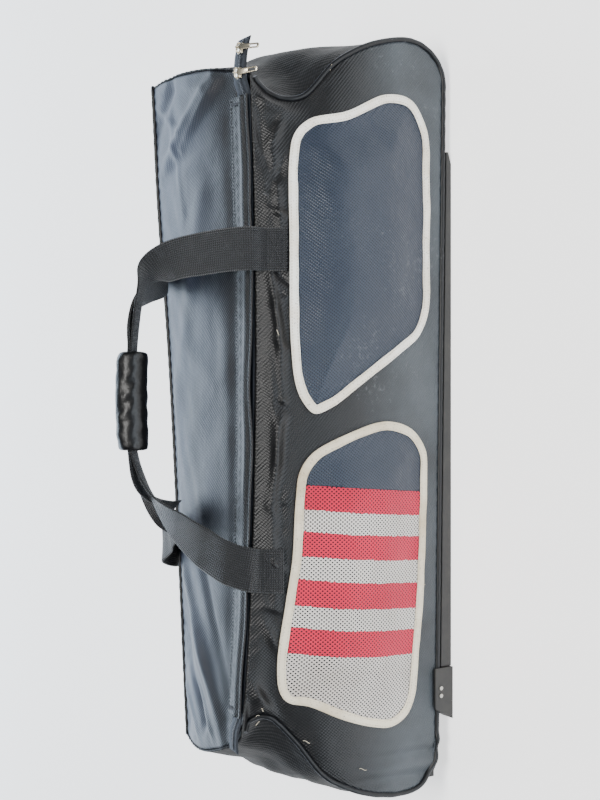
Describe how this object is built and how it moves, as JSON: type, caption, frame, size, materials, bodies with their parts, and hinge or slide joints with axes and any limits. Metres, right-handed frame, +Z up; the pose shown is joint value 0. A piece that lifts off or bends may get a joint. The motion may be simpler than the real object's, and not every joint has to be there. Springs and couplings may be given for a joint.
{
  "type": "wheeled cricket kit bag",
  "caption": "Long soft kit bag on wheels: hollow sewn nylon shell, covered top zip, bound pockets, paired webbing straps in a padded wrap, plastic runners",
  "frame": {"origin": "on the floor under the middle of the bag's bounding box", "axes": "+X along the bag, away from the wheels; -Y out of the front wall with the two pockets; +Z up"},
  "size_m": [0.9094, 0.3586, 0.3612],
  "materials": {
    "nylon": "coated twill",
    "webbing": "ribbed webbing",
    "piping": "corded tape",
    "binding": "woven tape",
    "net": "knitted net",
    "padding": "padded cloth",
    "zip_tape": "woven tape",
    "plastic": "matt moulded",
    "tyre": "matt",
    "steel": "dull zinc",
    "bright_metal": "bright plated"
  },
  "bodies": {
    "bag": {"front_panel": "nylon", "back_panel": "nylon", "top_panel": "nylon", "end_panel_far": "nylon", "end_panel_wheel": "nylon", "base_panel": "nylon", "front_wheel_housing": "plastic", "front_axle": "steel", "back_wheel_housing": "plastic", "back_axle": "steel", "front_piping": "piping", "back_piping": "piping", "main_zip": "zip_tape", "zip_storm_flap": "nylon", "back_zip": "zip_tape", "nylon_pocket_binding": "binding", "nylon_pocket": "nylon", "mesh_pocket_binding": "binding", "mesh_pocket": "net", "mesh_pocket_yoke": "nylon", "back_pocket_binding": "binding", "back_mesh_pocket": "net", "front_webbing": "webbing", "back_webbing": "webbing", "handle_wrap": "padding", "front_runner": "plastic", "front_foot": "plastic", "front_rivet_near": "steel", "front_rivet_rear": "steel", "back_runner": "plastic", "back_foot": "plastic", "back_rivet_near": "steel", "back_rivet_rear": "steel", "zip_slider_outer": "bright_metal", "zip_slider_inner": "bright_metal", "back_zip_slider": "bright_metal"},
    "front_wheel": {"front_wheel": "tyre"},
    "back_wheel": {"back_wheel": "tyre"},
    "outer_tab": {"pull_tab_outer": "bright_metal"},
    "inner_tab": {"pull_tab_inner": "bright_metal"},
    "back_tab": {"back_pull_tab": "bright_metal"}
  },
  "joints": [
    {"name": "front_wheel_spin", "type": "hinge", "parent": "bag", "child": "front_wheel", "pos_m": [-0.41615, -0.13641, 0.03], "axis": [0, 1, 0], "continuous": true},
    {"name": "back_wheel_spin", "type": "hinge", "parent": "bag", "child": "back_wheel", "pos_m": [-0.41615, 0.13159, 0.03], "axis": [0, 1, 0], "continuous": true},
    {"name": "outer_tab_swing", "type": "hinge", "parent": "bag", "child": "outer_tab", "pos_m": [0.42147, -0.09537, 0.25536], "axis": [-0.979, 0, 0.2036], "range_deg": [0, 130]},
    {"name": "inner_tab_swing", "type": "hinge", "parent": "bag", "child": "inner_tab", "pos_m": [0.3918, -0.09537, 0.25812], "axis": [-0.9996, 0, -0.0288], "range_deg": [0, 130]},
    {"name": "back_tab_swing", "type": "hinge", "parent": "bag", "child": "back_tab", "pos_m": [0.32969, 0.14621, 0.237], "axis": [1, 0.0025, 0.0015], "range_deg": [0, 130]}
  ]
}
